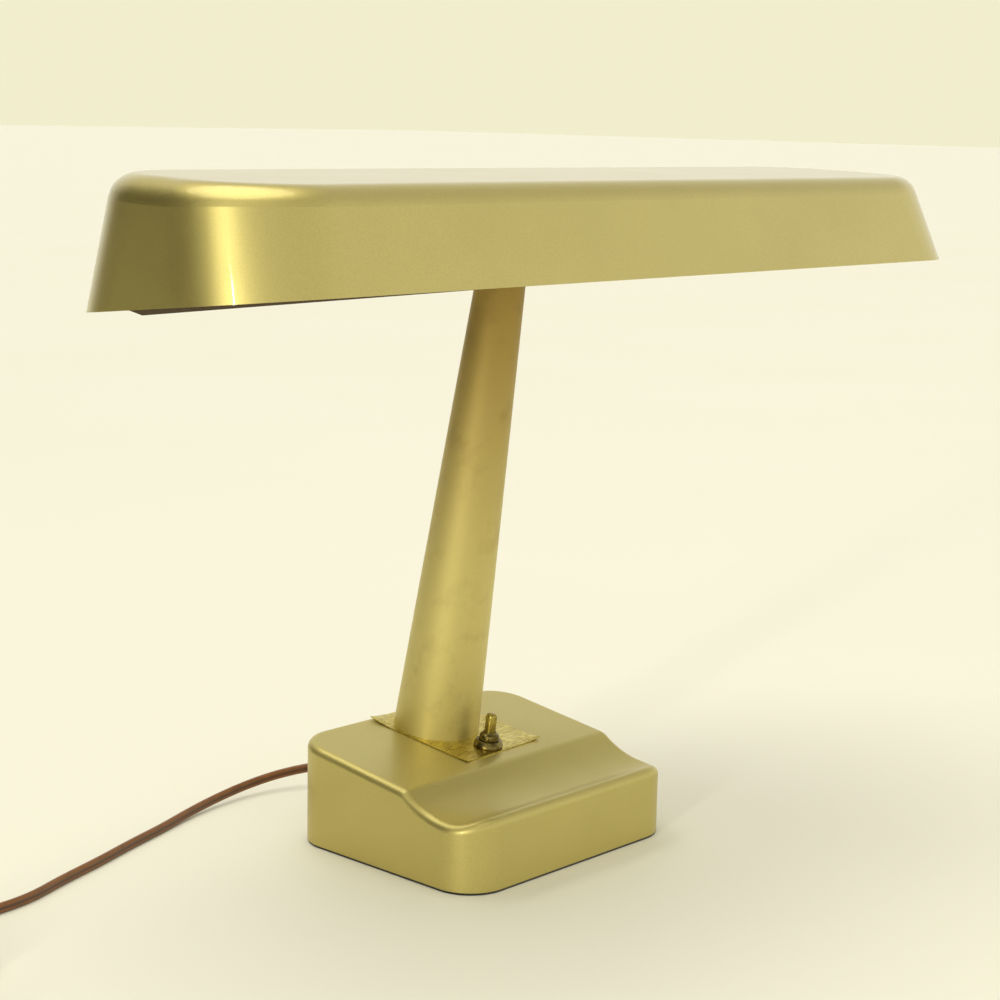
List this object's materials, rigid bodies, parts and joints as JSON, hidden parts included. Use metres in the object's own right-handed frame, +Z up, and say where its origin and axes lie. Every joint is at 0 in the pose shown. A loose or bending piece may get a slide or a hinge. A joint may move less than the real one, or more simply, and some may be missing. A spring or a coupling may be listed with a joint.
{
  "type": "fluorescent desk lamp",
  "caption": "Fluorescent desk lamp: wedge base with a pen groove, leaning tapered post on a brass escutcheon, push switch and a long shade with rounded ends.",
  "frame": {"origin": "middle of the base's underside, where the felt meets the table", "axes": "+X along the shade to the right, -Y the front with the pen groove, +Z up"},
  "size_m": [0.6232, 0.2467, 0.3401],
  "materials": {
    "gold_enamel": "satin metallic champagne gold enamel",
    "satin_gold_post": "satin brushed, lacquered champagne gold",
    "brass_foil": "bright hammered and grained",
    "aged_brass": "darkened, worn bright on its edges",
    "button_brass": "polished dome on a darkened stem",
    "zinc_steel": "zinc plated",
    "spring_steel": "drawn wire",
    "lamination_steel": "varnished laminations",
    "wound_coil": "varnished tape over copper winding",
    "fibre_board": "pressed fibre",
    "black_felt": "dense felt",
    "brown_phenolic": "moulded phenolic",
    "white_plastic": "moulded, slightly yellowed",
    "lead_insulation": "extruded insulation",
    "tube_glass": "phosphor coated inside, opaque white",
    "cap_aluminium": "drawn",
    "pin_brass": "stamped and plated",
    "brown_rubber": "moulded",
    "brown_vinyl": "extruded twin lead, satin",
    "tie_plastic": "paper and wire twist tie",
    "plug_plastic": "moulded"
  },
  "bodies": {
    "lamp": {"base_shell": "gold_enamel", "bottom_plate": "zinc_steel", "felt_pad": "black_felt", "bottom_screws": "zinc_steel", "ballast_core": "lamination_steel", "ballast_coil": "wound_coil", "ballast_strap": "zinc_steel", "ballast_pad": "fibre_board", "ballast_rivets": "zinc_steel", "escutcheon": "brass_foil", "post_tube": "satin_gold_post", "lower_centring_disc": "zinc_steel", "upper_centring_disc": "zinc_steel", "tie_rod": "zinc_steel", "lower_washer": "zinc_steel", "lower_nut": "zinc_steel", "upper_washer": "zinc_steel", "upper_nut": "zinc_steel", "post_leads": "lead_insulation", "switch_body": "brown_phenolic", "switch_bushing": "aged_brass", "switch_nut": "aged_brass", "switch_spring": "spring_steel", "shade_shell": "gold_enamel", "wiring_pan": "gold_enamel", "shade_bracket_left": "zinc_steel", "shade_bracket_right": "zinc_steel", "bracket_screws": "zinc_steel", "bracket_nuts": "zinc_steel", "holder_bracket_left": "zinc_steel", "holder_bracket_right": "zinc_steel", "lampholder_left": "white_plastic", "lampholder_right": "white_plastic", "holder_screws": "zinc_steel", "lamp_leads": "lead_insulation", "cord_relief": "brown_rubber", "power_cord": "brown_vinyl", "cord_coil": "brown_vinyl", "cord_tie": "tie_plastic", "cord_tail": "brown_vinyl", "plug_body": "plug_plastic", "plug_blades": "pin_brass"},
    "button": {"switch_button": "button_brass"},
    "tube": {"tube_glass": "tube_glass", "tube_cap_left": "cap_aluminium", "tube_cap_right": "cap_aluminium", "tube_pins": "pin_brass"}
  },
  "joints": [
    {"name": "button_press", "type": "slide", "parent": "lamp", "child": "button", "axis": [0, 0.1276, -0.9918], "range_m": [0, 0.003], "stiffness_N_per_m": 400, "springref_m": -0.003, "deforming": ["switch_spring"]},
    {"name": "tube_turn", "type": "hinge", "parent": "lamp", "child": "tube", "pos_m": [-0.0003, -0.06864, 0.3149], "axis": [1, -0.0014, 0.0086], "range_deg": [0, 90]}
  ]
}
